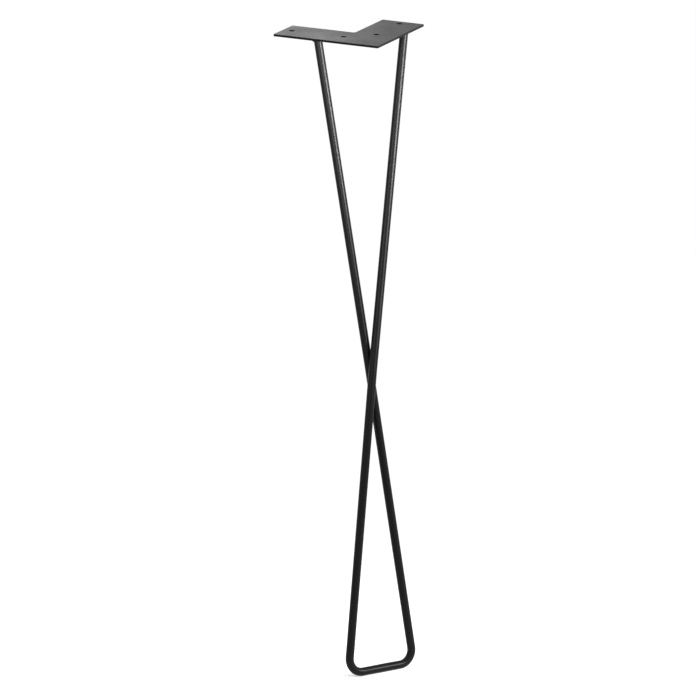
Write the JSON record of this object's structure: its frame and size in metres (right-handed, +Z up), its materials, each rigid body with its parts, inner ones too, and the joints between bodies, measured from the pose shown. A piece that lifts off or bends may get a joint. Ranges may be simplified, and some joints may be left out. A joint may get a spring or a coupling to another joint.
{
  "type": "hairpin table leg",
  "caption": "Hairpin table leg: one bent steel rod whose arms cross above a short foot bar, welded under an L-shaped corner plate with screw holes, satin black powder coat.",
  "frame": {"origin": "on the mounting plate's top face, where the centre lines of its two arms meet", "axes": "+Z up, out of the plate's top face into the table top; the plate's left arm runs along -X and its right arm along +Y, so the plate's outer corner points to +X, -Y and the foot bar lies below and outside it"},
  "size_m": [0.1857, 0.1973, 0.71],
  "materials": {
    "plate_coat": "satin black powder coat on flat steel",
    "rod_coat": "satin black powder coat on round steel bar",
    "weld_coat": "satin black powder coat over a weld bead"
  },
  "bodies": {
    "root": {"mounting_plate": "plate_coat", "bent_rod": "rod_coat", "left_weld_bead": "weld_coat", "right_weld_bead": "weld_coat"}
  },
  "joints": []
}
